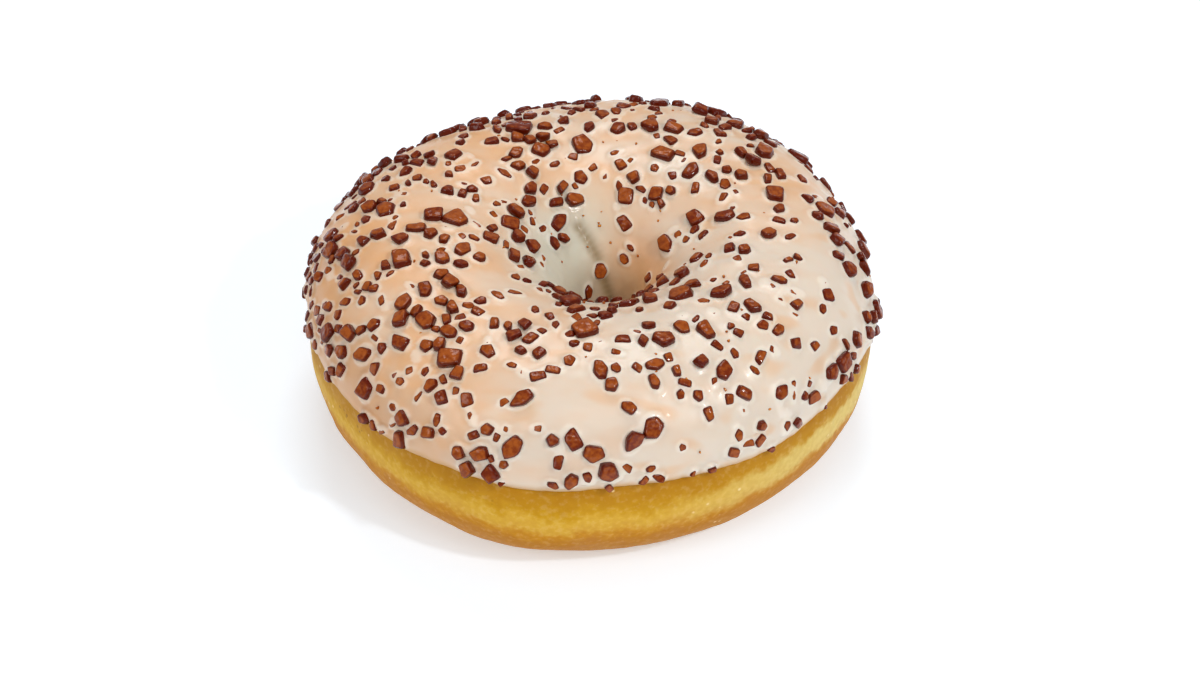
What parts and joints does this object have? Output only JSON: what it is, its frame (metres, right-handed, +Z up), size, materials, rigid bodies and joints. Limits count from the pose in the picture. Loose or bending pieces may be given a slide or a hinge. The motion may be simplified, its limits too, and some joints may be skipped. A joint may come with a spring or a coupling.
{
  "type": "doughnut",
  "caption": "Raised ring doughnut, its top dipped in white icing and strewn with broken pieces of chocolate.",
  "frame": {"origin": "on the surface that the doughnut rests on, under the centre of its box; the hole lies close to it", "axes": "+Z up through the hole, -Y towards the side that faces the viewer in the picture, +X to that viewer's right"},
  "size_m": [0.0928, 0.0931, 0.0372],
  "materials": {
    "dough": "matte",
    "icing": "satin",
    "chocolate": "satin"
  },
  "bodies": {
    "root": {"dough": "dough", "icing": "icing"}
  },
  "joints": []
}
